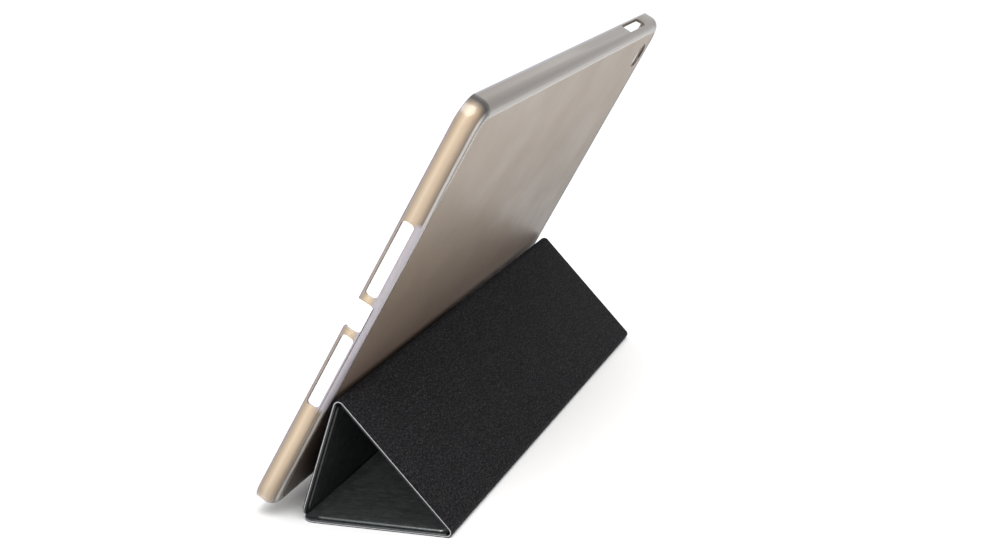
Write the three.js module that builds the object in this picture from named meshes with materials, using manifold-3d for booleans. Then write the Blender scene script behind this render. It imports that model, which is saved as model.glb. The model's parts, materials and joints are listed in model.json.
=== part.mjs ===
// Tablet case: a clear rigid tray with a folding cover that stands it up.
//
// The case is drawn in its stand pose. The tray leans back on a triangular prism
// that the cover's three panels make behind it. X runs along the long side of the
// case, with the end of the charging-port notch at +X. Y runs from the screen side
// to the stand side, Z is up, and the origin is on the ground under the middle.
// Lengths are in millimetres and angles in degrees.

import * as THREE from 'three';
import { mergeVertices } from 'three/addons/utils/BufferGeometryUtils.js';
import Module from 'manifold-3d';

// ---- Driving dimensions -------------------------------------------------

// The tablet that the tray holds.
const TABLET_LENGTH = 250.6;
const TABLET_WIDTH = 174.1;
const TABLET_THICKNESS = 6.1;
const TABLET_CORNER = 8.6;
const TABLET_FIT = 0.15;

// The tray.
const WALL = 1.3;
const BACK_THICKNESS = 1.2;
const LIP_THICKNESS = 1.0;
const LIP_REACH = 0.8;
const EDGE_RADIUS = 4.5;
const TRAY_LENGTH = TABLET_LENGTH + 2 * (TABLET_FIT + WALL);
const TRAY_WIDTH = TABLET_WIDTH + 2 * (TABLET_FIT + WALL);
const TRAY_CORNER = TABLET_CORNER + WALL;
const POCKET_DEPTH = TABLET_THICKNESS + 0.1;
const TRAY_THICKNESS = BACK_THICKNESS + POCKET_DEPTH + LIP_THICKNESS;

// Cut-outs in the tray's walls. Heights are measured from the back face.
const SLOT_LOW = 2.6;
const SLOT_HIGH = 7.4;
const SLOT_CORNER = 1.6;
const SPEAKER_SLOT = 31.4;
const SPEAKER_OFFSET = 24.4;
const PORT_NOTCH = 12;
const PORT_NOTCH_LOW = 2.0;
const MIC_HOLE_LENGTH = 4;
const MIC_HOLE_WIDTH = 1.8;
const MIC_HOLE_INSET = 2.75;
const MIC_HOLE_V = 87;
const VOLUME_SLOT = 28;
const VOLUME_X = -86.5;
const POWER_SLOT = 16;
const POWER_V = 152;
const HEADPHONE_HOLE = 6.4;
const HEADPHONE_V = 16;
const CAMERA_WINDOW = 12;
const CAMERA_X = -112;
const CAMERA_V = 160;

// The plies of the cover. The fold lines lie at height 0 between lining and leather.
const LEATHER = 0.7;
const BOARD = 1.0;
const LINING = 0.5;
const PLY_GAP = 0.15;
const FOLD_RADIUS = LINING + PLY_GAP;
const RAISED_TOP = BOARD + PLY_GAP + LEATHER;

// The cover's outline.
const COVER_LENGTH = 249;
const COVER_CORNER = 5;
const SIDE_MARGIN = 2.6;
const HINGE_LENGTH = 178;
const SPINE_SPAN = 12.2;
const FIRST_SPAN = 60.0;
const MIDDLE_SPAN = 65.2;
const END_SPAN = 50.1;
const FOLD_CLEARANCE = 0.3;
const BACK_LEATHER_GAP = 2.0;
const APEX_LEATHER_GAP = 1.7;
const SPINE_MARGIN = 2.4;
const FRONT_MARGIN = 4.6;
const BACK_MARGIN = 4.4;
const APEX_MARGIN = 3.5;
const FREE_MARGIN = 2.8;

// The strip that fastens the cover to the tray's back.
const FLANGE_WIDTH = 17;
const FLANGE_TAPE = 0.3;
const TAPE_START = 6;
const FLANGE_GAP = 0.15;

// Magnets and the steel strip that they hold to.
const MAGNET_LENGTH = 20;
const MAGNET_WIDTH = 5;
const MAGNET_POSITIONS = [-93, -31, 31, 93];
const SLEEP_MAGNET_LENGTH = 12;
const SLEEP_MAGNET_X = 62;
const STEEL_LENGTH = 212;
const STEEL_WIDTH = 6;
const METAL_THICKNESS = 0.7;
const METAL_INSET = 1.5;
const POCKET_GAP = 0.15;

// The stand pose.
const TRAY_TILT = 59.6;
const BACK_ANGLE = 48.3;
const FREE_END_HEIGHT = 2.0;

// ---- Positions that follow from them ------------------------------------

const radians = THREE.MathUtils.degToRad;
const tiltCos = Math.cos(radians(TRAY_TILT));
const tiltSin = Math.sin(radians(TRAY_TILT));

// The tray's fold line, in the tray's own frame: behind its back and below its edge.
const HINGE_N = -(FLANGE_GAP * 2 + FLANGE_TAPE + LEATHER / 2);
const HINGE_V = -(FOLD_RADIUS + 0.3);

// Where the tray's lower back corner is, so that the fold line lies on the ground.
const TRAY_LIFT = FOLD_RADIUS - (HINGE_V * tiltSin + HINGE_N * tiltCos);
const TRAY_FORWARD = -(HINGE_V * tiltCos - HINGE_N * tiltSin);

// The apex of the prism and the angle of the end panel, from the three spans.
const backFoldY = SPINE_SPAN + FIRST_SPAN;
const apexY = backFoldY - MIDDLE_SPAN * Math.cos(radians(BACK_ANGLE));
const apexZ = MIDDLE_SPAN * Math.sin(radians(BACK_ANGLE));
const freeEndDrop = apexZ + FOLD_RADIUS - FREE_END_HEIGHT;
const endAngle = THREE.MathUtils.radToDeg(Math.asin(freeEndDrop / END_SPAN));
const BACK_FOLD = 180 - BACK_ANGLE;
const APEX_FOLD = BACK_ANGLE + endAngle;

// The middle of the model along Y, from the tray's foot, which is its front rim, to
// the rounded back edge of its top.
const footY = TRAY_FORWARD - TRAY_THICKNESS * tiltSin;
const topEdgeY = (TRAY_WIDTH - EDGE_RADIUS) * tiltCos - EDGE_RADIUS * tiltSin + EDGE_RADIUS;
const MIDDLE_Y = (footY + TRAY_FORWARD + topEdgeY) / 2;

// ---- Solids -------------------------------------------------------------

const wasm = await Module();
wasm.setup();

function solidOf(geometry) {
  const bare = geometry.index ? geometry.toNonIndexed() : geometry.clone();
  bare.deleteAttribute('normal');
  bare.deleteAttribute('uv');
  const merged = mergeVertices(bare, 1e-4);
  const mesh = new wasm.Mesh({
    numProp: 3,
    vertProperties: new Float32Array(merged.attributes.position.array),
    triVerts: new Uint32Array(merged.index.array),
  });
  return new wasm.Manifold(mesh);
}

function geometryOf(solid) {
  const mesh = solid.getMesh();
  const geometry = new THREE.BufferGeometry();
  geometry.setAttribute('position', new THREE.BufferAttribute(mesh.vertProperties, 3));
  geometry.setIndex(new THREE.BufferAttribute(mesh.triVerts, 1));
  geometry.computeVertexNormals();
  return geometry;
}

// A rectangle with rounded corners, from x0 to x1 and from y0 to y1.
function roundedRectangle(x0, x1, y0, y1, radius) {
  const shape = new THREE.Shape();
  shape.moveTo(x0 + radius, y0);
  shape.lineTo(x1 - radius, y0);
  shape.absarc(x1 - radius, y0 + radius, radius, -Math.PI / 2, 0, false);
  shape.lineTo(x1, y1 - radius);
  shape.absarc(x1 - radius, y1 - radius, radius, 0, Math.PI / 2, false);
  shape.lineTo(x0 + radius, y1);
  shape.absarc(x0 + radius, y1 - radius, radius, Math.PI / 2, Math.PI, false);
  shape.lineTo(x0, y0 + radius);
  shape.absarc(x0 + radius, y0 + radius, radius, Math.PI, 1.5 * Math.PI, false);
  return shape;
}

// A flat plate of a shape, from height z0 to z1.
function plate(shape, z0, z1, segments = 4) {
  const geometry = new THREE.ExtrudeGeometry(shape, {
    depth: z1 - z0,
    bevelEnabled: false,
    curveSegments: segments,
  });
  return geometry.translate(0, 0, z0);
}

function block(x0, x1, y0, y1, z0, z1) {
  const geometry = new THREE.BoxGeometry(x1 - x0, y1 - y0, z1 - z0);
  return geometry.translate((x0 + x1) / 2, (y0 + y1) / 2, (z0 + z1) / 2);
}

// A plate whose lower edge is rounded. It is cut flat at height z1.
function dish(shape, z0, z1, edge) {
  const geometry = new THREE.ExtrudeGeometry(shape, {
    depth: z1 - z0,
    bevelThickness: edge,
    bevelSize: edge,
    bevelOffset: -edge,
    bevelSegments: 4,
    curveSegments: 5,
  });
  geometry.translate(0, 0, z0 + edge);
  const above = block(-200, 200, -50, 300, z1, z1 + 2 * edge + 20);
  return solidOf(geometry).subtract(solidOf(above));
}

// A cutter through an end wall at x: a rounded slot from v0 to v1 and from n0 to n1.
function endWallCutter(x, v0, v1, n0, n1, radius) {
  const shape = roundedRectangle(v0, v1, n0, n1, radius);
  const geometry = plate(shape, -3 * WALL, 3 * WALL, 3);
  geometry.rotateX(Math.PI / 2);
  geometry.rotateZ(Math.PI / 2);
  return solidOf(geometry.translate(x, 0, 0));
}

// A cutter through a long wall at v, with the same arguments along x.
function longWallCutter(v, x0, x1, n0, n1, radius) {
  const shape = roundedRectangle(x0, x1, n0, n1, radius);
  const geometry = plate(shape, -3 * WALL, 3 * WALL, 3);
  geometry.rotateX(Math.PI / 2);
  return solidOf(geometry.translate(0, v, 0));
}

// ---- The tray -----------------------------------------------------------

const MIDDLE_V = TRAY_WIDTH / 2;
const NEAR_X = TRAY_LENGTH / 2;
const OPEN_FRONT = TRAY_THICKNESS + 4;

function trayOutline(inset) {
  return roundedRectangle(
    -NEAR_X + inset,
    NEAR_X - inset,
    inset,
    TRAY_WIDTH - inset,
    TRAY_CORNER - inset,
  );
}

function speakerSlot(x, side) {
  const middle = MIDDLE_V + side * SPEAKER_OFFSET;
  const half = SPEAKER_SLOT / 2;
  return endWallCutter(x, middle - half, middle + half, SLOT_LOW, SLOT_HIGH, SLOT_CORNER);
}

function portNotch() {
  const half = PORT_NOTCH / 2;
  const [low, high] = [PORT_NOTCH_LOW, OPEN_FRONT];
  return endWallCutter(NEAR_X, MIDDLE_V - half, MIDDLE_V + half, low, high, SLOT_CORNER);
}

// The microphone hole goes through the rounded edge of the back, at the far end.
function microphoneHole() {
  const x = -NEAR_X + MIC_HOLE_INSET;
  const halfWidth = MIC_HOLE_WIDTH / 2;
  const halfLength = MIC_HOLE_LENGTH / 2;
  const shape = roundedRectangle(
    x - halfWidth,
    x + halfWidth,
    MIC_HOLE_V - halfLength,
    MIC_HOLE_V + halfLength,
    halfWidth - 0.05,
  );
  return solidOf(plate(shape, -1, EDGE_RADIUS - 1));
}

function powerSlot() {
  const half = POWER_SLOT / 2;
  return endWallCutter(-NEAR_X, POWER_V - half, POWER_V + half, SLOT_LOW, SLOT_HIGH, SLOT_CORNER);
}

function headphoneHole() {
  const geometry = new THREE.CylinderGeometry(HEADPHONE_HOLE / 2, HEADPHONE_HOLE / 2, 6 * WALL, 20);
  geometry.rotateZ(Math.PI / 2);
  const height = BACK_THICKNESS + TABLET_THICKNESS / 2;
  return solidOf(geometry.translate(-NEAR_X, HEADPHONE_V, height));
}

function volumeSlot() {
  const half = VOLUME_SLOT / 2;
  const radius = (SLOT_HIGH - SLOT_LOW) / 2 - 0.05;
  return longWallCutter(TRAY_WIDTH, VOLUME_X - half, VOLUME_X + half, SLOT_LOW, SLOT_HIGH, radius);
}

function cameraWindow() {
  const geometry = new THREE.CylinderGeometry(CAMERA_WINDOW / 2, CAMERA_WINDOW / 2, 8, 28);
  geometry.rotateX(Math.PI / 2);
  return solidOf(geometry.translate(CAMERA_X, CAMERA_V, 0));
}

function traySolid() {
  const inside = WALL;
  const lip = WALL + LIP_REACH;
  const lipHeight = TRAY_THICKNESS - LIP_THICKNESS;
  const outer = dish(trayOutline(0), 0, TRAY_THICKNESS, EDGE_RADIUS);
  const pocket = dish(trayOutline(inside), BACK_THICKNESS, lipHeight, EDGE_RADIUS - WALL);
  const mouth = solidOf(plate(trayOutline(lip), lipHeight - 1, OPEN_FRONT, 5));
  const cutters = [
    speakerSlot(NEAR_X, -1),
    speakerSlot(NEAR_X, 1),
    portNotch(),
    speakerSlot(-NEAR_X, -1),
    speakerSlot(-NEAR_X, 1),
    microphoneHole(),
    powerSlot(),
    headphoneHole(),
    volumeSlot(),
    cameraWindow(),
  ];
  let tray = outer.subtract(pocket).subtract(mouth);
  for (const cutter of cutters) {
    tray = tray.subtract(cutter);
  }
  return tray;
}

// ---- The cover's plies --------------------------------------------------

// A ply's outline in its panel's own frame, where Y runs from the panel's first fold
// line. The corners at either end are rounded where that end is free.
function plyOutline(length, span, startCorner, endCorner) {
  const half = length / 2;
  const [y0, y1] = span;
  const shape = new THREE.Shape();
  shape.moveTo(-half + startCorner, y0);
  shape.lineTo(half - startCorner, y0);
  shape.absarc(half - startCorner, y0 + startCorner, startCorner, -Math.PI / 2, 0, false);
  shape.lineTo(half, y1 - endCorner);
  shape.absarc(half - endCorner, y1 - endCorner, endCorner, 0, Math.PI / 2, false);
  shape.lineTo(-half + endCorner, y1);
  shape.absarc(-half + endCorner, y1 - endCorner, endCorner, Math.PI / 2, Math.PI, false);
  shape.lineTo(-half, y0 + startCorner);
  shape.absarc(-half + startCorner, y0 + startCorner, startCorner, Math.PI, 1.5 * Math.PI, false);
  return shape;
}

const LEATHER_STEP = PLY_GAP + LEATHER;
const BOARD_CORNER = 1.5;

function boardShape(panel, grow) {
  const half = panel.length / 2 - SIDE_MARGIN + grow;
  const [start, end] = panel.board;
  return roundedRectangle(-half, half, start - grow, end + grow, BOARD_CORNER + grow);
}

function liningGeometry(panel) {
  const shape = plyOutline(panel.length, panel.lining, panel.startCorner, panel.endCorner);
  return plate(shape, -LINING - PLY_GAP, -PLY_GAP);
}

// The leather lies flat round the edge and steps up over the board.
function leatherGeometry(panel) {
  const outline = plyOutline(panel.length, panel.leather, panel.startCorner, panel.endCorner);
  const margin = solidOf(plate(outline, 0, LEATHER));
  const raised = solidOf(plate(boardShape(panel, LEATHER_STEP), 0.01, RAISED_TOP));
  const pocket = solidOf(plate(boardShape(panel, PLY_GAP), -1, BOARD + PLY_GAP));
  return geometryOf(margin.add(raised).subtract(pocket));
}

// The board has windows for the magnets or the steel strip set into it.
function boardGeometry(panel, windows) {
  let board = solidOf(plate(boardShape(panel, 0), 0, BOARD));
  for (const window of windows) {
    board = board.subtract(window);
  }
  return geometryOf(board);
}

function bar(x, y, length, width) {
  const top = PLY_GAP + METAL_THICKNESS;
  return block(x - length / 2, x + length / 2, y - width / 2, y + width / 2, PLY_GAP, top);
}

function barWindow(x, y, length, width) {
  const halfLength = length / 2 + POCKET_GAP;
  const halfWidth = width / 2 + POCKET_GAP;
  return solidOf(block(x - halfLength, x + halfLength, y - halfWidth, y + halfWidth, -1, BOARD + 1));
}

// The bonded web of leather and lining along a fold line, rolled round that line.
function foldWeb(length) {
  const geometry = new THREE.CylinderGeometry(FOLD_RADIUS, FOLD_RADIUS, length, 12);
  return geometry.rotateZ(Math.PI / 2);
}

// ---- Materials ----------------------------------------------------------

function material(color, roughness, metalness = 0) {
  return new THREE.MeshStandardMaterial({ color, roughness, metalness });
}

const clearPlastic = () => material(0xa39a90, 0.3);
const blackLeather = () => material(0x161a1a, 0.45);
const charcoalMicrofibre = () => material(0x2d2c2e, 0.95);
const greyBoard = () => material(0x8b8170, 0.9);
const whiteTape = () => material(0xd8d8d4, 0.7);
const nickelMagnet = () => material(0xb9b9bd, 0.3, 1);
const zincSteel = () => material(0x9a9ca0, 0.4, 1);

function piece(name, geometry, finish) {
  const mesh = new THREE.Mesh(geometry, finish);
  mesh.name = name;
  return mesh;
}

// ---- Assembly -----------------------------------------------------------

function trayGroup() {
  const group = new THREE.Group();
  const flangeTop = HINGE_V + FLANGE_WIDTH;
  const half = HINGE_LENGTH / 2;
  const tapeFace = -FLANGE_GAP;
  const tape = block(-half + 2, half - 2, TAPE_START, flangeTop - 1, tapeFace - FLANGE_TAPE, tapeFace);
  const flange = plate(
    roundedRectangle(-half, half, HINGE_V + FOLD_RADIUS + FOLD_CLEARANCE, flangeTop, 0.3),
    HINGE_N - LEATHER / 2,
    HINGE_N + LEATHER / 2,
  );
  group.add(piece('back_tray', geometryOf(traySolid()), clearPlastic()));
  group.add(piece('hinge_flange_tape', tape, whiteTape()));
  group.add(piece('hinge_flange_leather', flange, blackLeather()));
  group.position.set(0, TRAY_FORWARD, TRAY_LIFT);
  group.rotation.x = radians(TRAY_TILT);
  return group;
}

const PLY_START = FOLD_RADIUS + FOLD_CLEARANCE;
const FOLD_CORNER = 0.3;

function addPlies(group, name, panel, windows) {
  group.add(piece(`${name}_leather`, leatherGeometry(panel), blackLeather()));
  group.add(piece(`${name}_board`, boardGeometry(panel, windows), greyBoard()));
  group.add(piece(`${name}_lining`, liningGeometry(panel), charcoalMicrofibre()));
}

function spineGroup() {
  const group = new THREE.Group();
  const plies = [PLY_START, SPINE_SPAN - PLY_START];
  group.add(piece('tray_fold_web', foldWeb(HINGE_LENGTH), blackLeather()));
  addPlies(group, 'spine', {
    length: HINGE_LENGTH,
    leather: plies,
    lining: plies,
    board: [PLY_START + SPINE_MARGIN, SPINE_SPAN - PLY_START - SPINE_MARGIN],
    startCorner: FOLD_CORNER,
    endCorner: FOLD_CORNER,
  }, []);
  return group;
}

function firstPanelGroup() {
  const group = new THREE.Group();
  const board = [PLY_START + FRONT_MARGIN, FIRST_SPAN - BACK_MARGIN - LEATHER_STEP];
  const stripY = board[0] + STEEL_WIDTH / 2 + METAL_INSET;
  const window = barWindow(0, stripY, STEEL_LENGTH, STEEL_WIDTH);
  group.add(piece('spine_fold_web', foldWeb(HINGE_LENGTH), blackLeather()));
  addPlies(group, 'first_panel', {
    length: COVER_LENGTH,
    leather: [PLY_START, FIRST_SPAN - BACK_LEATHER_GAP],
    lining: [PLY_START, FIRST_SPAN - PLY_START],
    board,
    startCorner: COVER_CORNER,
    endCorner: FOLD_CORNER,
  }, [window]);
  const strip = bar(0, stripY, STEEL_LENGTH, STEEL_WIDTH);
  group.add(piece('first_panel_steel_strip', strip, zincSteel()));
  return group;
}

function middlePanelGroup() {
  const group = new THREE.Group();
  group.add(piece('back_fold_web', foldWeb(COVER_LENGTH), blackLeather()));
  addPlies(group, 'middle_panel', {
    length: COVER_LENGTH,
    leather: [BACK_LEATHER_GAP, MIDDLE_SPAN - APEX_LEATHER_GAP],
    lining: [PLY_START, MIDDLE_SPAN - PLY_START],
    board: [BACK_MARGIN + LEATHER_STEP, MIDDLE_SPAN - APEX_MARGIN - LEATHER_STEP],
    startCorner: FOLD_CORNER,
    endCorner: FOLD_CORNER,
  }, []);
  return group;
}

function endPanelGroup() {
  const group = new THREE.Group();
  const board = [APEX_MARGIN + LEATHER_STEP, END_SPAN - FREE_MARGIN];
  const magnetY = board[1] - MAGNET_WIDTH / 2 - METAL_INSET;
  const windows = MAGNET_POSITIONS.map((x) => barWindow(x, magnetY, MAGNET_LENGTH, MAGNET_WIDTH));
  windows.push(barWindow(SLEEP_MAGNET_X, magnetY, SLEEP_MAGNET_LENGTH, MAGNET_WIDTH));
  group.add(piece('apex_fold_web', foldWeb(COVER_LENGTH), blackLeather()));
  addPlies(group, 'end_panel', {
    length: COVER_LENGTH,
    leather: [APEX_LEATHER_GAP, END_SPAN],
    lining: [PLY_START, END_SPAN],
    board,
    startCorner: FOLD_CORNER,
    endCorner: COVER_CORNER,
  }, windows);
  MAGNET_POSITIONS.forEach((x, index) => {
    const magnet = bar(x, magnetY, MAGNET_LENGTH, MAGNET_WIDTH);
    group.add(piece(`latch_magnet_${index + 1}`, magnet, nickelMagnet()));
  });
  const sleep = bar(SLEEP_MAGNET_X, magnetY, SLEEP_MAGNET_LENGTH, MAGNET_WIDTH);
  group.add(piece('sleep_magnet', sleep, nickelMagnet()));
  return group;
}

function coverGroup() {
  const spine = spineGroup();
  const first = firstPanelGroup();
  const middle = middlePanelGroup();
  const end = endPanelGroup();
  spine.position.set(0, 0, FOLD_RADIUS);
  first.position.y = SPINE_SPAN;
  middle.position.y = FIRST_SPAN;
  middle.rotation.x = radians(BACK_FOLD);
  end.position.y = MIDDLE_SPAN;
  end.rotation.x = radians(APEX_FOLD);
  spine.add(first);
  first.add(middle);
  middle.add(end);
  return spine;
}

const tabletCase = new THREE.Group();
tabletCase.add(trayGroup());
tabletCase.add(coverGroup());
tabletCase.position.y = -MIDDLE_Y;

export default tabletCase;
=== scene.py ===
# The tablet case's looks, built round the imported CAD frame. Lengths here are in millimetres,
# apart from the camera's and the lamps', which are in metres as Blender's are.
# X runs along the case, Y from its screen side to its stand, Z up.
import json
import math

import bmesh
import bpy
from mathutils import Matrix, Vector


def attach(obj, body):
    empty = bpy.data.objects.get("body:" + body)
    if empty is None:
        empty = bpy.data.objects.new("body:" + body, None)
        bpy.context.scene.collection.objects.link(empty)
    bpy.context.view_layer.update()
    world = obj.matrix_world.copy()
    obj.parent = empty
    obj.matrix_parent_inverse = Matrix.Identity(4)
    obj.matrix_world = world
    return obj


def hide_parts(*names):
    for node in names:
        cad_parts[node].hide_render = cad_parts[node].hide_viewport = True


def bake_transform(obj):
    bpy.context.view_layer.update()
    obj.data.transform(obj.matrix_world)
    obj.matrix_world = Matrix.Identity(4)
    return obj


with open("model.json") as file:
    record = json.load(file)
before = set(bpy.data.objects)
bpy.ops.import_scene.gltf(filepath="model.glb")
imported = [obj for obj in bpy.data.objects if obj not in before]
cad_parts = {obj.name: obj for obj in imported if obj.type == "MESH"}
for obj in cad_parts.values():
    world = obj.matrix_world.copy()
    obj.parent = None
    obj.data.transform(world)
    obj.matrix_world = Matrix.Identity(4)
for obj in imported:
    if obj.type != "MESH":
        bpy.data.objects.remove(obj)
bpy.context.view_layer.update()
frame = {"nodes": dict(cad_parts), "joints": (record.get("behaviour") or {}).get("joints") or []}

MM = 0.001

# ---- Dimensions, as in the CAD ------------------------------------------------

TRAY_LENGTH = 253.5
TRAY_WIDTH = 177.0
TRAY_THICKNESS = 8.4
TRAY_CORNER = 9.9
TRAY_TILT = 59.6
WALL = 1.3
BACK = 1.2
EDGE = 4.5
LIP_UNDERSIDE = 7.4
LIP_REACH = 0.8
HINGE_OFFSET = -0.95

SLOT_LOW = 2.6
SLOT_HIGH = 7.4
SLOT_CORNER = 1.6
SPEAKER_OFFSET = 24.4
SPEAKER_HALF = 15.7
PORT_HALF = 6
PORT_LOW = 2.0
POWER_SPAN = (144, 160)
VOLUME_SPAN = (-100.5, -72.5)
VOLUME_CORNER = 2.35
HEADPHONE_RADIUS = 3.2
HEADPHONE_PLACE = (16, 4.25)
CAMERA_WINDOW_RADIUS = 6.0
CAMERA_WINDOW_PLACE = (-112, 160)
MIC_HALF_WIDTH = 0.9
MIC_SPAN = (85, 89)
MIC_CORNER = 0.85
MIC_X = -124

LINING_FACE = -0.65
LINING_INNER = -0.32
LEATHER = 0.7
POCKET_TOP = 1.06
RAISED_TOP = 1.25
COVER_HALF = 124.5
HINGE_HALF = 89.0
COVER_CORNER = 5.0
SIDE_MARGIN = 2.6
SPINE_SPAN = 12.2
FIRST_SPAN = 60.0
MIDDLE_SPAN = 65.2
END_SPAN = 50.1
END_ALLOWANCE = 0.45
FIRST_START = -0.35
PLY_START = 0.95
BACK_REACH = 3.6
BACK_RADIUS = 2.2
APEX_REACH = 3.3
APEX_RADIUS = 2.5
END_DROP = 47.33081
FLANGE_FOOT = 0.3
FLANGE_TOP = 16.05

# ---- Camera and lamps, in metres ----------------------------------------------

CAMERA_LENS = 61.81
CAMERA_SENSOR = 36
CAMERA_ROLL = -1.63
CAMERA_LOCATION = (0.65347, 0.23397, 0.24800)
CAMERA_TARGET = (0.00038, 0.00904, 0.06267)
SKY_GREYS = (0.70, 1.0)
SKY_STRENGTH = 1.25
OVERHEAD = {
    "location": (0.54, 0.30, 0.91), "target": (0.12, 0.05, 0.15), "size": (0.65, 0.65), "power": 6,
}
FILL = {
    "location": (0.75, 0.14, 0.26), "target": (0.08, 0, 0), "size": (0.3, 0.3), "power": 18,
}

# ---- Frames of the bodies -----------------------------------------------------


def fold_line(joint):
    """A fold line's Y and Z in millimetres."""
    found = next(j for j in frame["joints"] if j["name"] == joint)
    return Vector((0, found["pos_m"][1], found["pos_m"][2])) / MM


def placed(origin, degrees):
    """The frame, in metres, of a body whose local millimetres start at origin and run at an angle."""
    turn = Matrix.Rotation(math.radians(degrees), 4, "X")
    return Matrix.Translation(origin * MM) @ turn


TRAY_FOLD = fold_line("cover_swing")
SPINE_FOLD = fold_line("cover_close")
BACK_FOLD = fold_line("back_fold_unroll")
APEX_FOLD = fold_line("apex_fold_unroll")

rise = APEX_FOLD - BACK_FOLD
MIDDLE_ANGLE = math.degrees(math.atan2(rise.z, rise.y))
END_ANGLE = 180 + math.degrees(math.asin(END_DROP / END_SPAN))
tilt = Matrix.Rotation(math.radians(TRAY_TILT), 3, "X")

TRAY_FRAME = placed(TRAY_FOLD - tilt @ Vector((0, HINGE_OFFSET, HINGE_OFFSET)), TRAY_TILT)
SPINE_FRAME = placed(TRAY_FOLD, 0)
FIRST_FRAME = placed(SPINE_FOLD, 0)
MIDDLE_FRAME = placed(BACK_FOLD, MIDDLE_ANGLE)
END_FRAME = placed(APEX_FOLD, END_ANGLE)
ROW_FRAME = Matrix.Identity(4)

# ---- Materials ----------------------------------------------------------------


# Where the walls' tints fade into each other: distances from the tray's middle, and heights
# over its back.
SLOTS_FADE = (39.5, 41.5)
SLOTS_FOOT_FADE = (2.5, 3.1)
END_FADE = (116.6, 118.0)
POLISH_FADE = (116.6, 119.0)
CORNER_SHADE_FADE = (120.2, 123.6)


class Shader:
    """A node material with one Principled shader."""

    def __init__(self, name, **values):
        self.material = bpy.data.materials.new(name)
        self.material.use_nodes = True
        self.tree = self.material.node_tree
        self.surface = self.tree.nodes["Principled BSDF"]
        self.coordinates = self.add("ShaderNodeTexCoord").outputs["Object"]
        for socket, value in values.items():
            self.surface.inputs[socket.replace("_", " ")].default_value = value

    def add(self, kind, settings=None, **inputs):
        node = self.tree.nodes.new(kind)
        for key, value in (settings or {}).items():
            setattr(node, key, value)
        for key, value in inputs.items():
            socket = node.inputs[key.replace("_", " ")]
            if isinstance(value, bpy.types.NodeSocket):
                self.tree.links.new(value, socket)
            else:
                socket.default_value = value
        return node

    def link(self, output, socket):
        self.tree.links.new(output, self.surface.inputs[socket])

    def within(self, place):
        """The X, Y and Z, in millimetres, of a point in the frame of a placed body."""
        back = place.inverted()
        turned = self.add(
            "ShaderNodeMapping",
            Vector=self.coordinates,
            Location=tuple(back.translation / MM),
            Rotation=tuple(back.to_euler()),
            Scale=(1 / MM, 1 / MM, 1 / MM),
        )
        split = self.add("ShaderNodeSeparateXYZ", Vector=turned.outputs["Vector"])
        return [split.outputs[axis] for axis in "XYZ"]

    def math(self, operation, *values):
        node = self.add("ShaderNodeMath", {"operation": operation})
        for socket, value in zip(node.inputs, values):
            if isinstance(value, bpy.types.NodeSocket):
                self.tree.links.new(value, socket)
            else:
                socket.default_value = value
        return node.outputs["Value"]

    def stretched(self, scale):
        """Object coordinates multiplied along each axis, in cells for each metre."""
        return self.add("ShaderNodeMapping", Vector=self.coordinates, Scale=scale).outputs["Vector"]

    def noise(self, scale, detail=3.0, roughness=0.5, distortion=0.0):
        """A noise value, where scale is the cells for each metre along each axis."""
        if not isinstance(scale, tuple):
            scale = (scale, scale, scale)
        node = self.add(
            "ShaderNodeTexNoise",
            Vector=self.stretched(scale),
            Scale=1.0,
            Detail=detail,
            Roughness=roughness,
            Distortion=distortion,
        )
        return node.outputs["Fac"]

    def ramp(self, value, stops):
        """A colour ramp of (position, colour) stops."""
        node = self.add("ShaderNodeValToRGB", Fac=value)
        elements = node.color_ramp.elements
        while len(elements) < len(stops):
            elements.new(0.5)
        for element, (position, colour) in zip(elements, stops):
            element.position = position
            element.color = (*colour, 1)
        return node.outputs["Color"]

    def band(self, value, low, high, start=0.0, end=1.0):
        """The value from start..end mapped to low..high."""
        node = self.add(
            "ShaderNodeMapRange",
            Value=value,
            From_Min=start,
            From_Max=end,
            To_Min=low,
            To_Max=high,
        )
        return node.outputs["Result"]

    def mix(self, share, first, second):
        node = self.add("ShaderNodeMix", {"data_type": "RGBA"})
        self.tree.links.new(share, node.inputs["Factor"])
        for socket, value in (("A", first), ("B", second)):
            place = next(i for i in node.inputs if i.name == socket and i.type == "RGBA")
            if isinstance(value, bpy.types.NodeSocket):
                self.tree.links.new(value, place)
            else:
                place.default_value = (*value, 1)
        return next(o for o in node.outputs if o.type == "RGBA")

    def absorb(self, colour, density):
        """A tint that deepens with the depth of the plastic, where density is for each metre."""
        volume = self.add("ShaderNodeVolumeAbsorption", Color=(*colour, 1), Density=density)
        output = self.tree.nodes["Material Output"]
        self.tree.links.new(volume.outputs["Volume"], output.inputs["Volume"])

    def bump(self, layers):
        """Bump from (height, depth in millimetres) layers, the coarse ones first."""
        normal = None
        for height, depth in layers:
            inputs = {"Height": height, "Distance": depth * MM, "Strength": 1.0}
            if normal is not None:
                inputs["Normal"] = normal
            normal = self.add("ShaderNodeBump", **inputs).outputs["Normal"]
        self.link(normal, "Normal")


def black_leather():
    """Coated leather: near black with a green cast, creased across the cover and finely grained."""
    s = Shader("black_leather", Specular_IOR_Level=0.5)
    creases = s.noise((560, 150, 560), detail=5, roughness=0.65, distortion=1.2)
    grain = s.noise(1500, detail=4, roughness=0.6)
    clouds = s.noise(45, detail=2)
    # The tone follows the creases: the leather's own dark tone, painted lighter on the crease ridges as
    # painted highlights.
    tone = s.ramp(creases, [(0.40, (0.0060, 0.0072, 0.0070)), (0.62, (0.024, 0.0270, 0.0262))])
    s.link(s.mix(s.band(clouds, 0, 0.5), tone, (0.012, 0.0138, 0.0134)), "Base Color")
    s.link(s.band(creases, 0.46, 0.30, 0.38, 0.64), "Roughness")
    s.bump([(clouds, 0.25), (creases, 0.18), (grain, 0.02)])
    return s.material


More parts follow.
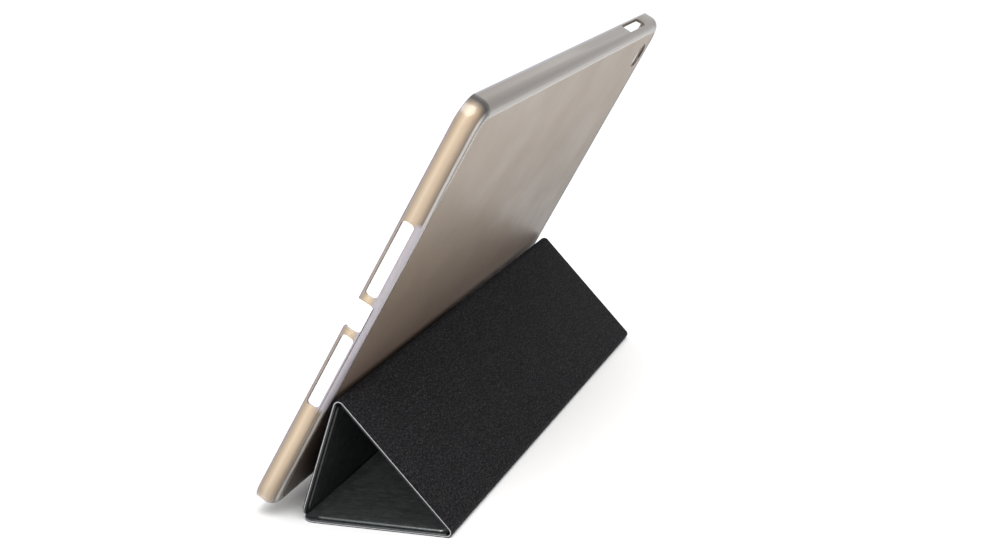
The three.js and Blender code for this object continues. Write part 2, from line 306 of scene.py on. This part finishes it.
def margin_leather_painted_shade():
    """The leather's margin round the raised boards: smoother than the panels, and darker as painted
    shade in the recessed margin.
    """
    s = Shader("margin_leather_painted_shade", Specular_IOR_Level=0.4)
    grain = s.noise(900, detail=3)
    # Darker than the panels: painted shade for the recessed margin.
    tone = s.ramp(grain, [(0.3, (0.0040, 0.0050, 0.0050)), (0.7, (0.0085, 0.0100, 0.0100))])
    s.link(tone, "Base Color")
    s.link(s.band(grain, 0.34, 0.46, 0.3, 0.7), "Roughness")
    s.bump([(grain, 0.015)])
    return s.material


def charcoal_microfibre():
    """Brushed microfibre: matt charcoal with light fibre ends and soft mottling."""
    s = Shader("charcoal_microfibre", Roughness=0.95, Specular_IOR_Level=0.12, Sheen_Weight=0.03)
    s.surface.inputs["Sheen Roughness"].default_value = 0.45
    s.surface.inputs["Sheen Tint"].default_value = (0.75, 0.75, 0.8, 1)
    fibres = s.noise(1300, detail=2, roughness=0.9)
    mottle = s.noise((70, 110, 110), detail=3, roughness=0.6)
    dark = s.ramp(fibres, [(0.46, (0.0005, 0.0005, 0.0007)), (0.70, (0.028, 0.0275, 0.0305))])
    light = s.ramp(fibres, [(0.46, (0.0010, 0.0010, 0.0013)), (0.70, (0.036, 0.0355, 0.0390))])
    s.link(s.mix(s.band(mottle, 0, 1, 0.3, 0.7), dark, light), "Base Color")
    s.bump([(mottle, 0.12), (fibres, 0.10)])
    return s.material


def cut_edge():
    """The pale felted backing that shows at the cover's cut edges."""
    s = Shader("cut_edge", Roughness=0.85, Specular_IOR_Level=0.2)
    fluff = s.noise(2600, detail=4, roughness=0.7)
    s.link(s.ramp(fluff, [(0.3, (0.26, 0.26, 0.27)), (0.7, (0.52, 0.52, 0.53))]), "Base Color")
    s.bump([(fluff, 0.05)])
    return s.material


def frosted_plastic():
    """The back's satin face. It is opaque; its taupe tone stands for the tablet behind it, and its
    darkening towards the bottom is painted shade and a painted reflection of the dark cover below.
    """
    s = Shader("frosted_plastic", IOR=1.5, Specular_IOR_Level=0.35)
    _, height, _ = s.within(TRAY_FRAME)
    haze = s.noise(28, detail=3, roughness=0.6)
    satin = s.noise(3200, detail=3, roughness=0.6)
    # Darker towards the bottom of the back: painted shade and a painted reflection of the dark cover
    # below.
    tone = s.ramp(
        s.band(s.math("ADD", height, s.band(haze, -6, 6)), 0, 1, 0, TRAY_WIDTH),
        [
            (0.34, (0.120, 0.086, 0.066)),
            (0.62, (0.160, 0.116, 0.078)),
            (0.85, (0.235, 0.182, 0.136)),
            (1.00, (0.265, 0.212, 0.165)),
        ],
    )
    s.link(tone, "Base Color")
    s.link(s.band(haze, 0.36, 0.46, 0.3, 0.7), "Roughness")
    s.bump([(haze, 0.02), (satin, 0.006)])
    return s.material


def clear_plastic():
    """The polished walls: champagne on the ends, satin taupe on the long walls, painted dark shade
    round the corners.
    The tints stand for the gold tablet that clear walls show, which is not in this model; their bands
    across the walls are painted light and shade on the tablet's rounded edges."""
    s = Shader("clear_plastic", IOR=1.5, Transmission_Weight=0.4)
    s.surface.inputs["Coat Weight"].default_value = 0.6
    s.surface.inputs["Coat Roughness"].default_value = 0.16
    x, up, height = s.within(TRAY_FRAME)
    ripple = s.noise((12, 60, 60), detail=2)
    across = s.math("ADD", height, s.band(ripple, -0.3, 0.3))
    # Across the end walls, from the back up: a painted highlight line along the back edge, painted
    # shade beside it, a painted highlight band in the middle, shade again, and a painted violet-grey
    # reflection line at the rim.
    end = s.ramp(
        s.band(across, 0, 1, 0, TRAY_THICKNESS),
        [
            (0.030, (0.27, 0.225, 0.18)),
            (0.042, (0.62, 0.60, 0.57)),
            (0.090, (0.58, 0.55, 0.51)),
            (0.130, (0.16, 0.105, 0.065)),
            (0.36, (0.52, 0.395, 0.265)),
            (0.62, (0.74, 0.60, 0.435)),
            (0.84, (0.47, 0.355, 0.235)),
            (0.96, (0.34, 0.31, 0.34)),
            (1.00, (0.20, 0.18, 0.22)),
        ],
    )
    # Across the long walls, from the back up: a painted highlight line at the back edge, painted shade
    # beside it, lighter in the middle, and a painted bluish reflection line at the rim.
    side = s.ramp(
        s.band(across, 0, 1, 0, TRAY_THICKNESS),
        [
            (0.03, (0.23, 0.195, 0.16)),
            (0.06, (0.12, 0.098, 0.080)),
            (0.30, (0.150, 0.122, 0.098)),
            (0.60, (0.200, 0.165, 0.134)),
            (0.86, (0.172, 0.138, 0.112)),
            (0.95, (0.30, 0.29, 0.36)),
            (1.00, (0.42, 0.42, 0.52)),
        ],
    )
    along = s.math("ABSOLUTE", x)
    from_middle = s.math("ABSOLUTE", s.math("SUBTRACT", up, TRAY_WIDTH / 2))
    beside_slots = s.band(from_middle, 1, 0, *SLOTS_FADE)
    slots = s.math("MULTIPLY", beside_slots, s.band(across, 1, 0, *SLOTS_FOOT_FADE))
    end = s.mix(slots, end, (0.50, 0.47, 0.52))
    # Dark brown round the corners, fading into the end walls' colours: painted shade.
    corner = s.mix(s.band(along, 0, 1, *CORNER_SHADE_FADE), (0.012, 0.007, 0.004), end)
    s.link(s.mix(s.band(along, 0, 1, *END_FADE), side, corner), "Base Color")
    s.link(s.band(along, 0.36, 0.20, *POLISH_FADE), "Roughness")
    s.bump([(ripple, 0.05)])
    s.absorb((0.70, 0.47, 0.15), 300)
    return s.material


def grey_board():
    s = Shader("grey_board", Roughness=0.9, Specular_IOR_Level=0.2)
    pulp = s.noise((300, 900, 900), detail=4, roughness=0.7)
    s.link(s.ramp(pulp, [(0.3, (0.20, 0.175, 0.135)), (0.7, (0.31, 0.275, 0.215))]), "Base Color")
    s.bump([(pulp, 0.05)])
    return s.material


def white_tape():
    s = Shader("white_tape", Roughness=0.6, Specular_IOR_Level=0.3)
    foam = s.noise(1800, detail=3)
    s.link(s.ramp(foam, [(0.3, (0.60, 0.60, 0.58)), (0.7, (0.74, 0.74, 0.72))]), "Base Color")
    s.bump([(foam, 0.02)])
    return s.material


def plated_metal(name, light, dark, low, high, scale):
    s = Shader(name, Metallic=1.0)
    marks = s.noise(scale, detail=4, roughness=0.6)
    s.link(s.ramp(marks, [(0.3, dark), (0.7, light)]), "Base Color")
    s.link(s.band(marks, low, high, 0.3, 0.7), "Roughness")
    s.bump([(marks, 0.004)])
    return s.material


LEATHER_SKIN = black_leather()
LEATHER_MARGIN = margin_leather_painted_shade()
MICROFIBRE = charcoal_microfibre()
CUT_EDGE = cut_edge()
FROSTED = frosted_plastic()
CLEAR = clear_plastic()

# ---- Mesh building ------------------------------------------------------------

BROAD_FACE = 0.002  # square metres
SHARP = 38
SOFT = 50


def outline(half, y0, y1, start_radius, end_radius, segments=10):
    """A rectangle's points, anticlockwise, with one corner radius at y0 and one at y1."""
    corners = (
        (half - start_radius, y0 + start_radius, start_radius, -90),
        (half - end_radius, y1 - end_radius, end_radius, 0),
        (end_radius - half, y1 - end_radius, end_radius, 90),
        (start_radius - half, y0 + start_radius, start_radius, 180),
    )
    points = []
    for cx, cy, radius, first in corners:
        for k in range(segments + 1):
            t = math.radians(first + 90 * k / segments)
            points.append((cx + radius * math.cos(t), cy + radius * math.sin(t)))
    return points


def ring(points, z):
    return [(x, y, z) for x, y in points]


def new_piece(name, vertices, faces, place, materials, slots=None, sharp=SHARP):
    """An object from points in millimetres in the local frame given by place."""
    mesh = bpy.data.meshes.new(name)
    mesh.from_pydata([Vector(v) * MM for v in vertices], [], faces)
    for material in materials:
        mesh.materials.append(material)
    if slots:
        mesh.polygons.foreach_set("material_index", slots)
    bm = bmesh.new()
    bm.from_mesh(mesh)
    bmesh.ops.recalc_face_normals(bm, faces=bm.faces)
    bm.to_mesh(mesh)
    bm.free()
    smooth(mesh, sharp)
    piece = bpy.data.objects.new(name, mesh)
    bpy.context.scene.collection.objects.link(piece)
    piece.matrix_world = place
    return piece


def smooth(mesh, sharp):
    """Smooth shading, except on the broad flat faces and over edges sharper than an angle."""
    mesh.set_sharp_from_angle(angle=math.radians(sharp))
    mesh.polygons.foreach_set("use_smooth", [face.area < BROAD_FACE for face in mesh.polygons])


def lofted(name, rings, place, materials, cap_slots=(0, 0), sharp=SHARP, margin=()):
    """A closed solid through rings of equal length, flat at both ends. The bands that start at
    the rings named in margin take the second material."""
    count = len(rings[0])
    faces = [tuple(reversed(range(count)))]
    slots = [cap_slots[0]]
    for r in range(len(rings) - 1):
        low, high = r * count, (r + 1) * count
        for i in range(count):
            j = (i + 1) % count
            faces.append((low + i, low + j, high + j, high + i))
            slots.append(1 if r in margin else 0)
    last = (len(rings) - 1) * count
    faces.append(tuple(range(last, last + count)))
    slots.append(cap_slots[1])
    vertices = [v for points in rings for v in points]
    return new_piece(name, vertices, faces, place, materials, slots, sharp)


def cut(piece, cutters):
    """Cuts the cutters out of a piece, for good."""
    for cutter in cutters:
        modifier = piece.modifiers.new("cut", "BOOLEAN")
        modifier.operation = "DIFFERENCE"
        modifier.solver = "EXACT"
        modifier.object = cutter
    settle(piece)
    for cutter in cutters:
        bpy.data.objects.remove(cutter)


def settle(piece):
    """Makes a piece's modifiers part of its mesh."""
    graph = bpy.context.evaluated_depsgraph_get()
    made = bpy.data.meshes.new_from_object(piece.evaluated_get(graph))
    piece.modifiers.clear()
    piece.data = made


def arc(centre, radius, first, last, segments):
    """Points round a centre, from one angle to another in degrees."""
    steps = [math.radians(first + (last - first) * k / segments) for k in range(segments + 1)]
    return [(centre[0] + radius * math.cos(t), centre[1] + radius * math.sin(t)) for t in steps]


# ---- The tray -----------------------------------------------------------------

FROST_INSET = 5.2
FROST_STEP = 0.12
RIM_ROUND = 0.35
MOUTH_ROUND = 0.3
TRAY_BEVEL = 0.22


def tray_section():
    """The wall's section as (inset, height over the back), from the inner to the outer face."""
    pocket_edge = EDGE - WALL
    mouth = WALL + LIP_REACH
    top = TRAY_THICKNESS
    section = [(FROST_INSET, BACK)]
    section += arc((EDGE, BACK + pocket_edge), pocket_edge, 270, 180, 12)
    section += [(WALL, LIP_UNDERSIDE - 0.2), (WALL + 0.2, LIP_UNDERSIDE)]
    section += arc((mouth - MOUTH_ROUND, LIP_UNDERSIDE + MOUTH_ROUND), MOUTH_ROUND, 270, 360, 4)
    section += arc((mouth - MOUTH_ROUND, top - MOUTH_ROUND), MOUTH_ROUND, 0, 90, 4)
    section += arc((RIM_ROUND, top - RIM_ROUND), RIM_ROUND, 90, 180, 5)
    section += arc((EDGE, EDGE), EDGE, 180, 270, 16)
    section += [(FROST_INSET - FROST_STEP, 0), (FROST_INSET, FROST_STEP * 0.5)]
    section += [(FROST_INSET + FROST_STEP, FROST_STEP)]
    return section


def tray_ring(inset, height):
    radius = TRAY_CORNER - inset
    points = outline(TRAY_LENGTH / 2 - inset, inset, TRAY_WIDTH - inset, radius, radius, 16)
    return ring(points, height)


def slot_cutter(along, low, high, radius, place):
    """A rounded slot along a wall: its two ends and its two heights, cut along the local Z of place."""
    middle = (along[0] + along[1]) / 2
    half = (along[1] - along[0]) / 2
    points = [(x + middle, y) for x, y in outline(half, low, high, radius, radius, 8)]
    return lofted("cutter", [ring(points, -4), ring(points, 4)], TRAY_FRAME @ place, [CLEAR])


def end_wall(x):
    """The frame whose X runs along an end wall and whose Y is the height over the back."""
    return Matrix(((0, 0, 1, x * MM), (1, 0, 0, 0), (0, 1, 0, 0), (0, 0, 0, 1)))


def long_wall(v):
    """The frame whose X runs along a long wall and whose Y is the height over the back."""
    return Matrix(((1, 0, 0, 0), (0, 0, -1, v * MM), (0, 1, 0, 0), (0, 0, 0, 1)))


def round_cutter(radius, place):
    points = arc((0, 0), radius, 0, 360, 40)[:-1]
    return lofted("cutter", [ring(points, -4), ring(points, 4)], TRAY_FRAME @ place, [CLEAR])


def moved(x, y):
    return Matrix.Translation(Vector((x, y, 0)) * MM)


def tray_cutters():
    """The loudspeaker, port, button, headphone, camera and microphone openings."""
    near, far = end_wall(TRAY_LENGTH / 2), end_wall(-TRAY_LENGTH / 2)
    middle = TRAY_WIDTH / 2
    heights = (SLOT_LOW, SLOT_HIGH)
    cutters = []
    for wall in (near, far):
        for offset in (-SPEAKER_OFFSET, SPEAKER_OFFSET):
            centre = middle + offset
            span = (centre - SPEAKER_HALF, centre + SPEAKER_HALF)
            cutters.append(slot_cutter(span, *heights, SLOT_CORNER, wall))
    port = (middle - PORT_HALF, middle + PORT_HALF)
    cutters.append(slot_cutter(port, PORT_LOW, TRAY_THICKNESS + 4, SLOT_CORNER, near))
    cutters.append(slot_cutter(POWER_SPAN, *heights, SLOT_CORNER, far))
    cutters.append(slot_cutter(VOLUME_SPAN, *heights, VOLUME_CORNER, long_wall(TRAY_WIDTH)))
    cutters.append(round_cutter(HEADPHONE_RADIUS, far @ moved(*HEADPHONE_PLACE)))
    cutters.append(round_cutter(CAMERA_WINDOW_RADIUS, moved(*CAMERA_WINDOW_PLACE)))
    hole = outline(MIC_HALF_WIDTH, *MIC_SPAN, MIC_CORNER, MIC_CORNER, 6)
    microphone = [(x + MIC_X, y) for x, y in hole]
    rings = [ring(microphone, z) for z in (-1, 3.5)]
    cutters.append(lofted("cutter", rings, TRAY_FRAME, [CLEAR]))
    return cutters


def build_tray():
    rings = [tray_ring(*step) for step in tray_section()]
    tray = lofted("tray_shell", rings, TRAY_FRAME, [CLEAR, FROSTED], cap_slots=(1, 1))
    cut(tray, tray_cutters())
    smooth(tray.data, SHARP)
    bevel = tray.modifiers.new("edges", "BEVEL")
    bevel.width = TRAY_BEVEL * MM
    bevel.segments = 2
    bevel.limit_method = "ANGLE"
    bevel.angle_limit = math.radians(SHARP)
    bevel.use_clamp_overlap = False
    settle(tray)
    tray.data.transform(tray.matrix_world)
    tray.matrix_world = ROW_FRAME
    smooth(tray.data, SOFT)
    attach(tray, "tray")
    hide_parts("back_tray")


# ---- The cover's panels -------------------------------------------------------


def grown(board, half, grow):
    """A board's outline grown by a margin."""
    radius = max(0.3, 1.5 + grow)
    return outline(half - SIDE_MARGIN + grow, board[0] - grow, board[1] + grow, radius, radius)


def edge_ring(panel, inset, z):
    """A panel's outline, inset on its sides and at the ends that its trim names."""
    y0, y1 = panel["span"]
    start, end = panel["corners"]
    trim_start, trim_end = panel["trim"]
    radii = (max(0.1, start - inset), max(0.1, end - inset))
    points = outline(
        panel["half"] - inset, y0 + trim_start * inset, y1 - trim_end * inset, *radii
    )
    return ring(points, z)


def leather_rings(panel):
    half, board = panel["half"], panel["board"]
    rings = [ring(grown(board, half, 0.15), POCKET_TOP), ring(grown(board, half, 0.15), 0)]
    edges = ((0, 0), (0, LEATHER - 0.2), (0.06, LEATHER - 0.06), (0.2, LEATHER))
    rings += [edge_ring(panel, inset, z) for inset, z in edges]
    steps = 9
    for k in range(steps + 1):
        t = k / steps
        lift = t * t * (3 - 2 * t)
        rings.append(ring(grown(board, half, 0.85 - 0.45 * t), LEATHER + (RAISED_TOP - LEATHER) * lift))
    rings.append(ring(grown(board, half, -1.2), RAISED_TOP + 0.03))
    return rings


def backing_rings(panel):
    y0, y1 = panel["span"]
    points = outline(panel["half"], y0, y1, *panel["corners"])
    return [ring(points, LINING_INNER), ring(points, 0)]


def lining_rings(panel):
    edges = ((0, LINING_INNER), (0, LINING_FACE + 0.12), (0.1, LINING_FACE + 0.02), (0.3, LINING_FACE))
    return [edge_ring(panel, inset, z) for inset, z in edges]


def build_panel(panel):
    """A panel's leather, its pale backing and its microfibre lining, each its own solid."""
    name, place, body = panel["name"], panel["place"], panel["body"]
    # The margin bands take the margin leather, whose darker tone is painted shade.
    leather = lofted(f"{name}_leather_skin", leather_rings(panel), place,
                     [LEATHER_SKIN, LEATHER_MARGIN], sharp=SOFT, margin=(2, 3, 4, 5))
    for face in leather.data.polygons:
        if abs(face.center.x) < (panel["half"] - SIDE_MARGIN) * MM:
            face.material_index = 0
    backing = lofted(f"{name}_backing", backing_rings(panel), place, [CUT_EDGE])
    lining = lofted(f"{name}_microfibre", lining_rings(panel), place, [MICROFIBRE], sharp=SOFT)
    if panel["span"][0] == FIRST_START:
        gap = outline(HINGE_HALF + 0.1, -2, PLY_START, 0.3, 0.3)
        for piece in (leather, backing, lining):
            cut(piece, [lofted("cutter", [ring(gap, -2), ring(gap, 3)], place, [CUT_EDGE])])
            smooth(piece.data, SOFT)
    slots = ("black_leather", "charcoal_microfibre", "charcoal_microfibre")
    for piece, slot in zip((leather, backing, lining), slots):
        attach(piece, body)
    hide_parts(f"{name}_leather")
    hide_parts(f"{name}_lining")


PANELS = (
    {
        "name": "spine", "body": "spine", "place": SPINE_FRAME, "half": HINGE_HALF,
        "span": (PLY_START, SPINE_SPAN - PLY_START), "board": (3.35, 8.85),
        "corners": (0.3, 0.3), "trim": (1, 0),
    },
    {
        "name": "first_panel", "body": "first_panel", "place": FIRST_FRAME, "half": COVER_HALF,
        "span": (FIRST_START, FIRST_SPAN - BACK_REACH), "board": (5.55, 54.75),
        "corners": (COVER_CORNER, 0.1), "trim": (1, 0),
    },
    {
        "name": "middle_panel", "body": "middle_panel", "place": MIDDLE_FRAME, "half": COVER_HALF,
        "span": (BACK_REACH, MIDDLE_SPAN - APEX_REACH), "board": (5.25, 60.85),
        "corners": (0.1, 0.1), "trim": (0, 0),
    },
    {
        "name": "end_panel", "body": "end_panel", "place": END_FRAME, "half": COVER_HALF,
        "span": (APEX_REACH, END_SPAN + END_ALLOWANCE), "board": (4.35, 47.3),
        "corners": (0.1, COVER_CORNER), "trim": (0, 1),
    },
)

# ---- The folds ----------------------------------------------------------------


def fold_curve(fold, angle_a, angle_b, radius, reach):
    """The lining's outer face across a fold, as (point, outward normal) from panel a to panel b.
    The angles are the directions of the panels away from the fold, in degrees from +Y."""
    away_a, away_b = heading(angle_a), heading(angle_b)
    half_angle = math.radians((angle_a - angle_b) % 360) / 2
    out_a = Vector((0, -away_a.z, away_a.y))
    out_b = Vector((0, away_b.z, -away_b.y))
    face = -LINING_FACE
    straight = 6
    curve = []
    if abs(half_angle - math.pi / 2) < 0.01:
        tangent = 0
    else:
        tangent = (radius - face) / math.tan(half_angle)
    for k in range(straight):
        d = reach + (tangent - reach) * k / straight
        curve.append((fold + away_a * d + out_a * face, out_a.copy()))
    if tangent:
        centre = fold + away_a * tangent + out_a * (face - radius)
        turn = math.pi - 2 * half_angle
        bends = 16
        for k in range(bends + 1):
            spin = Matrix.Rotation(turn * k / bends, 3, "X")
            normal = spin @ out_a
            curve.append((centre + normal * radius, normal))
    else:
        curve.append((fold + out_a * face, out_a.copy()))
    for k in range(straight):
        d = tangent + (reach - tangent) * (k + 1) / straight
        curve.append((fold + away_b * d + out_b * face, out_b.copy()))
    return curve


def strip(name, curve, half, outer, inner, materials, round_edge=0.0):
    """One ply across a fold: outer and inner are its depths under the lining's face at each point."""
    stations = [(-half, 0)]
    if round_edge:
        part = 0.3 * round_edge
        stations = [(-half, round_edge), (-half + part, part), (-half + round_edge, 0)]
    stations += [(-x, trim) for x, trim in reversed(stations)]
    rings = []
    for x, trim in stations:
        over = [p - n * outer[i] for i, (p, n) in enumerate(curve)]
        under = [p - n * (inner[i] - trim) for i, (p, n) in enumerate(curve)]
        rings.append([(x, p.y, p.z) for p in over + under[::-1]])
    return lofted(name, rings, ROW_FRAME, materials, sharp=SOFT)


def heading(degrees):
    """The direction at an angle from +Y, in the plane across the folds."""
    return Vector((0, math.cos(math.radians(degrees)), math.sin(math.radians(degrees))))


def build_fold(name, fold, angles, radius, reach, half, thin, bodies, node):
    """The leather, backing and lining across a fold line. The leather's thickness falls from
    the panels' to thin at the fold line."""
    curve = fold_curve(fold, *angles, radius, reach)
    count = len(curve)
    face = [0.0] * count
    lining = [LINING_INNER - LINING_FACE] * count
    backing = [-LINING_FACE] * count
    leather = []
    for i in range(count):
        t = abs(2 * i / (count - 1) - 1)
        share = t * t * (3 - 2 * t)
        leather.append(-LINING_FACE + thin + (LEATHER - thin) * share)
    plies = (
        (f"{name}_fold_leather", backing, leather, LEATHER_SKIN, "black_leather", 0.2),
        (f"{name}_fold_backing", lining, backing, CUT_EDGE, "charcoal_microfibre", 0.0),
        (f"{name}_fold_microfibre", face, lining, MICROFIBRE, "charcoal_microfibre", 0.0),
    )
    for title, outer, inner, material, slot, rounding in plies:
        piece = strip(title, curve, half, outer, inner, [material], rounding)
        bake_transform(piece)
    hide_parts(node)


FOLDS = (
    {
        "name": "spine", "fold": SPINE_FOLD, "angles": (180, 360), "radius": 0,
        "reach": PLY_START, "half": HINGE_HALF, "thin": 0.35,
        "bodies": ("spine", "first_panel"), "node": "spine_fold_web",
    },
    {
        "name": "back", "fold": BACK_FOLD, "angles": (180, MIDDLE_ANGLE), "radius": BACK_RADIUS,
        "reach": BACK_REACH, "half": COVER_HALF, "thin": 0.15,
        "bodies": ("first_panel", "middle_panel"), "node": "back_fold_web",
    },
    {
        "name": "apex", "fold": APEX_FOLD, "angles": (180 + MIDDLE_ANGLE, END_ANGLE),
        "radius": APEX_RADIUS, "reach": APEX_REACH, "half": COVER_HALF, "thin": 0.2,
        "bodies": ("middle_panel", "end_panel"), "node": "apex_fold_web",
    },
)

# ---- The hinge on the tray's back ---------------------------------------------


def build_hinge():
    """The strip glued to the tray's back, and the roll that the cover turns on."""
    low, high = HINGE_OFFSET - FLANGE_FOOT, FLANGE_TOP
    bottom, top = HINGE_OFFSET - LEATHER / 2, HINGE_OFFSET + LEATHER / 2

    def edge(inset, z):
        return ring(outline(HINGE_HALF - inset, low + inset, high - inset, 0.5, 1.5), z)

    rings = [edge(0.15, top), edge(0.04, top - 0.1), edge(0, top - 0.25), edge(0, bottom + 0.25)]
    rings += [edge(0.04, bottom + 0.1), edge(0.2, bottom)]
    flange = lofted("hinge_flange_skin", rings, TRAY_FRAME, [LEATHER_SKIN], sharp=SOFT)
    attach(flange, "tray")
    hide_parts("hinge_flange_leather")

    stations = ((-HINGE_HALF, 0.5), (-HINGE_HALF + 0.04, 0.6), (-HINGE_HALF + 0.15, 0.65))
    stations += tuple((-x, radius) for x, radius in reversed(stations))
    circles = []
    for x, radius in stations:
        circles.append([(x, y, z) for y, z in arc((0, 0), radius, 0, 360, 24)[:-1]])
    roll = lofted("tray_fold_roll", circles, SPINE_FRAME, [LEATHER_SKIN], sharp=60)
    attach(roll, "spine")
    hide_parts("tray_fold_web")


def finish_hidden_parts():
    """Materials for the CAD parts that stay: boards, tape, magnets and the steel strip."""
    board = grey_board()
    tape = white_tape()
    nickel = plated_metal("nickel_magnet", (0.58, 0.57, 0.54), (0.46, 0.45, 0.43), 0.16, 0.3, 500)
    zinc = plated_metal("zinc_steel", (0.48, 0.49, 0.51), (0.34, 0.35, 0.37), 0.3, 0.5, (90, 600, 600))
    finishes = (("_board", board), ("_tape", tape), ("magnet", nickel), ("steel_strip", zinc))
    for name, node in frame["nodes"].items():
        for ending, material in finishes:
            if ending in name:
                node.data.materials.clear()
                node.data.materials.append(material)


# ---- Camera, floor and light --------------------------------------------------


def place_camera():
    data = bpy.data.cameras.new("camera")
    data.lens = CAMERA_LENS
    data.sensor_width = CAMERA_SENSOR
    data.clip_start = 0.01
    camera = bpy.data.objects.new("camera", data)
    bpy.context.scene.collection.objects.link(camera)
    location, target = Vector(CAMERA_LOCATION), Vector(CAMERA_TARGET)
    aim = (target - location).to_track_quat("-Z", "Y").to_matrix().to_4x4()
    roll = Matrix.Rotation(math.radians(CAMERA_ROLL), 4, "Z")
    camera.matrix_world = Matrix.Translation(location) @ aim @ roll
    bpy.context.scene.camera = camera


def place_floor():
    s = Shader("floor", Roughness=0.9, Specular_IOR_Level=0.1)
    grain = s.noise(3, detail=2)
    s.link(s.ramp(grain, [(0.3, (0.93, 0.93, 0.93)), (0.7, (0.95, 0.95, 0.95))]), "Base Color")
    size = 8000
    floor = new_piece(
        "floor", [(-size, -size, 0), (size, -size, 0), (size, size, 0), (-size, size, 0)],
        [(0, 1, 2, 3)], ROW_FRAME, [s.material],
    )


def softbox(name, location, target, size, power, pieces=None):
    data = bpy.data.lights.new(name, "AREA")
    data.shape = "RECTANGLE"
    data.size, data.size_y = size
    data.energy = power
    lamp = bpy.data.objects.new(name, data)
    bpy.context.scene.collection.objects.link(lamp)
    lamp.location = location
    if pieces:
        lit = bpy.data.collections.new(f"lit_by_{name}")
        for piece in pieces:
            lit.objects.link(piece)
        lamp.light_linking.receiver_collection = lit
    aim = Vector(target) - Vector(location)
    lamp.rotation_mode = "QUATERNION"
    lamp.rotation_quaternion = aim.to_track_quat("-Z", "Y")


def light_studio():
    world = bpy.data.worlds.new("studio")
    world.use_nodes = True
    tree = world.node_tree
    place = tree.nodes.new("ShaderNodeTexCoord")
    split = tree.nodes.new("ShaderNodeSeparateXYZ")
    ramp = tree.nodes.new("ShaderNodeValToRGB")
    for element, grey in zip(ramp.color_ramp.elements, SKY_GREYS):
        element.color = (grey, grey, grey, 1)
    tree.links.new(place.outputs["Generated"], split.inputs["Vector"])
    tree.links.new(split.outputs["Z"], ramp.inputs["Fac"])
    tree.links.new(ramp.outputs["Color"], tree.nodes["Background"].inputs["Color"])
    tree.nodes["Background"].inputs["Strength"].default_value = SKY_STRENGTH
    bpy.context.scene.world = world
    bpy.context.scene.view_settings.view_transform = "Standard"
    softbox("overhead", **OVERHEAD)


def light_inside():
    """A fill that lights only the first panel's leather, inside the folded stand."""
    leather = [bpy.data.objects["first_panel_leather_skin"]]
    softbox("fill", **FILL, pieces=leather)


place_camera()
place_floor()
light_studio()
build_tray()
build_hinge()
for each in PANELS:
    build_panel(each)
for each in FOLDS:
    build_fold(**each)
finish_hidden_parts()
light_inside()
